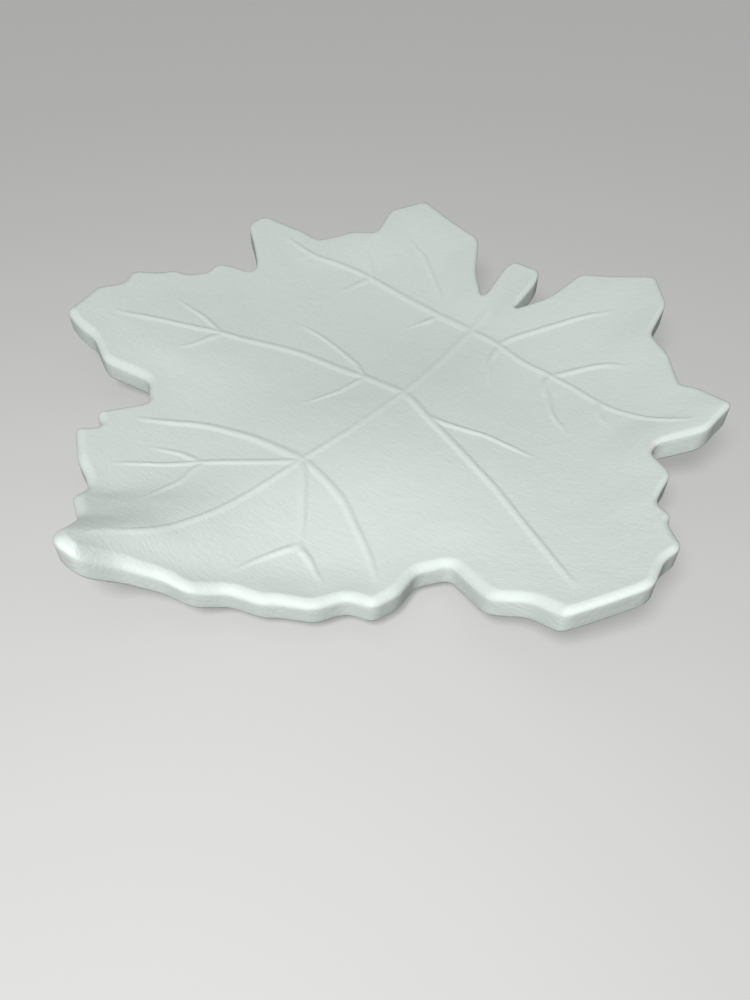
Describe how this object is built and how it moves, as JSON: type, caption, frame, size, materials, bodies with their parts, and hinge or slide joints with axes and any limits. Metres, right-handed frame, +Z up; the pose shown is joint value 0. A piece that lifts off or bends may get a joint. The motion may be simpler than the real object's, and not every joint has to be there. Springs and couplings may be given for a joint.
{
  "type": "leaf shaped plate",
  "caption": "Shallow dished serving plate in the shape of a broad lobed leaf, with raised veins, a rounded rim and a short stem as its handle.",
  "frame": {"origin": "on the table under the middle of the plate's width and length", "axes": "+X across the leaf to the right lobes, +Y from the apex to the stem, +Z up"},
  "size_m": [0.2808, 0.2646, 0.0512],
  "materials": {
    "bisque": "matte white with a fine grain"
  },
  "bodies": {
    "root": {"leaf_plate": "bisque"}
  },
  "joints": []
}
